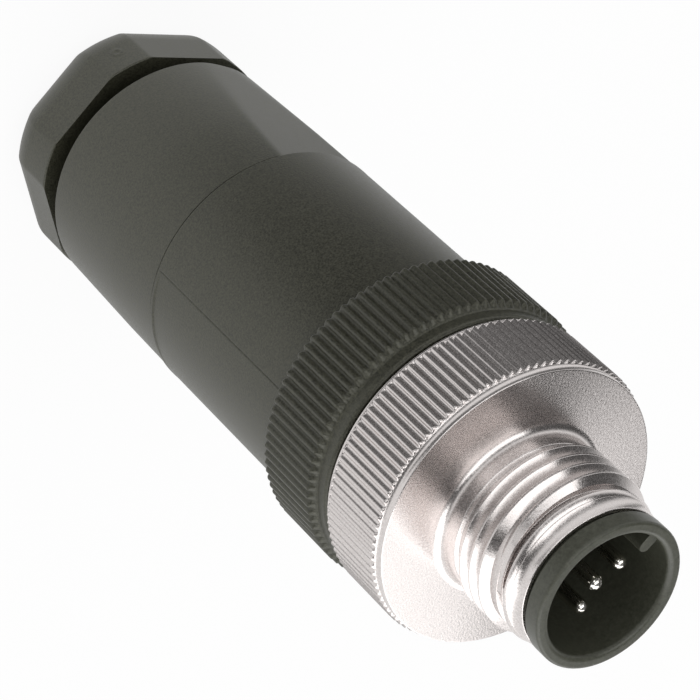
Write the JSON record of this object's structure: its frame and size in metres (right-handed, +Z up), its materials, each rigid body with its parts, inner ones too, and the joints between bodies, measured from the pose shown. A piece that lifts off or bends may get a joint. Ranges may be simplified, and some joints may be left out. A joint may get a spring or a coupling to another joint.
{
  "type": "circular connector plug",
  "caption": "Round field-wired plug with pin contacts in a keyed cup, a knurled metal coupling screw, a ribbed black grip ring, a tapered barrel and a cable gland nut.",
  "frame": {"origin": "on the connector's axis, in the plane of the coupling screw's collar face", "axes": "+Z up along the axis towards the mating end, as the plug stands on the flat end of its gland nut; +X lies 56 degrees before the coding key, turning from +X towards +Y"},
  "size_m": [0.0206, 0.0206, 0.0598],
  "materials": {
    "nickel_plated_brass": "bright nickel plate on turned brass",
    "plated_contact": "bright plated contact metal",
    "plated_steel": "zinc-plated steel",
    "black_rubber": "matt moulded rubber",
    "black_polyamide": "fine spark-eroded satin"
  },
  "bodies": {
    "plug_body": {"contact_carrier": "black_polyamide", "contact_pin_1": "plated_contact", "contact_pin_2": "plated_contact", "contact_pin_3": "plated_contact", "contact_pin_4": "plated_contact", "contact_pin_5": "plated_contact", "grip_ring": "black_polyamide", "carrier_seal_ring": "black_rubber", "sleeve_seal_ring": "black_rubber"},
    "coupling": {"coupling_screw": "nickel_plated_brass"},
    "plate_1": {"pressure_plate_1": "plated_steel"},
    "screw_1": {"terminal_screw_1": "plated_steel"},
    "plate_2": {"pressure_plate_2": "plated_steel"},
    "screw_2": {"terminal_screw_2": "plated_steel"},
    "plate_3": {"pressure_plate_3": "plated_steel"},
    "screw_3": {"terminal_screw_3": "plated_steel"},
    "plate_4": {"pressure_plate_4": "plated_steel"},
    "screw_4": {"terminal_screw_4": "plated_steel"},
    "plate_5": {"pressure_plate_5": "plated_steel"},
    "screw_5": {"terminal_screw_5": "plated_steel"},
    "seal": {"cable_seal": "black_rubber"},
    "shell": {"barrel": "black_polyamide"},
    "cage": {"clamp_cage": "black_polyamide"},
    "gland": {"gland_nut": "black_polyamide"}
  },
  "joints": [
    {"name": "coupling_turn", "type": "hinge", "parent": "plug_body", "child": "coupling", "pos_m": [0, 0, 0], "axis": [0, 0, 1], "continuous": true},
    {"name": "plate_1_travel", "type": "slide", "parent": "plug_body", "child": "plate_1", "axis": [-0.9816, -0.1908, 0], "range_m": [0, 0.0008]},
    {"name": "screw_1_turn", "type": "hinge", "parent": "plate_1", "child": "screw_1", "pos_m": [0.00391, 0.00076, -0.0198], "axis": [-0.9816, -0.1908, 0], "range_deg": [0, 823]},
    {"name": "plate_2_travel", "type": "slide", "parent": "plug_body", "child": "plate_2", "axis": [0.1908, -0.9816, 0], "range_m": [0, 0.0008]},
    {"name": "screw_2_turn", "type": "hinge", "parent": "plate_2", "child": "screw_2", "pos_m": [-0.00076, 0.00391, -0.0198], "axis": [0.1908, -0.9816, 0], "range_deg": [0, 823]},
    {"name": "plate_3_travel", "type": "slide", "parent": "plug_body", "child": "plate_3", "axis": [0.9816, 0.1908, 0], "range_m": [0, 0.0008]},
    {"name": "screw_3_turn", "type": "hinge", "parent": "plate_3", "child": "screw_3", "pos_m": [-0.00391, -0.00076, -0.0198], "axis": [0.9816, 0.1908, 0], "range_deg": [0, 823]},
    {"name": "plate_4_travel", "type": "slide", "parent": "plug_body", "child": "plate_4", "axis": [-0.1908, 0.9816, 0], "range_m": [0, 0.0008]},
    {"name": "screw_4_turn", "type": "hinge", "parent": "plate_4", "child": "screw_4", "pos_m": [0.00076, -0.00391, -0.0198], "axis": [-0.1908, 0.9816, 0], "range_deg": [0, 823]},
    {"name": "plate_5_travel", "type": "slide", "parent": "plug_body", "child": "plate_5", "axis": [-0.5592, -0.829, 0], "range_m": [0, 0.0008]},
    {"name": "screw_5_turn", "type": "hinge", "parent": "plate_5", "child": "screw_5", "pos_m": [0.00083, 0.00123, -0.0244], "axis": [-0.5592, -0.829, 0], "range_deg": [0, 823]},
    {"name": "shell_travel", "type": "slide", "parent": "plug_body", "child": "seal", "axis": [0, 0, -1], "range_m": [0, 0.0038]},
    {"name": "shell_turn", "type": "hinge", "parent": "seal", "child": "shell", "pos_m": [0, 0, -0.028], "axis": [0, 0, -1], "range_deg": [0, 1369]},
    {"name": "gland_travel", "type": "slide", "parent": "shell", "child": "cage", "axis": [0, 0, -1], "range_m": [-0.0016, 0.0035]},
    {"name": "gland_turn", "type": "hinge", "parent": "cage", "child": "gland", "pos_m": [0, 0, -0.046], "axis": [0, 0, -1], "range_deg": [-577, 1261]}
  ],
  "couplings": [
    {"joint": "screw_1_turn", "follows": "plate_1_travel", "rad_per_m": 17952},
    {"joint": "screw_2_turn", "follows": "plate_2_travel", "rad_per_m": 17952},
    {"joint": "screw_3_turn", "follows": "plate_3_travel", "rad_per_m": 17952},
    {"joint": "screw_4_turn", "follows": "plate_4_travel", "rad_per_m": 17952},
    {"joint": "screw_5_turn", "follows": "plate_5_travel", "rad_per_m": 17952},
    {"joint": "shell_turn", "follows": "shell_travel", "rad_per_m": 6283.2},
    {"joint": "gland_turn", "follows": "gland_travel", "rad_per_m": 6283.2}
  ]
}
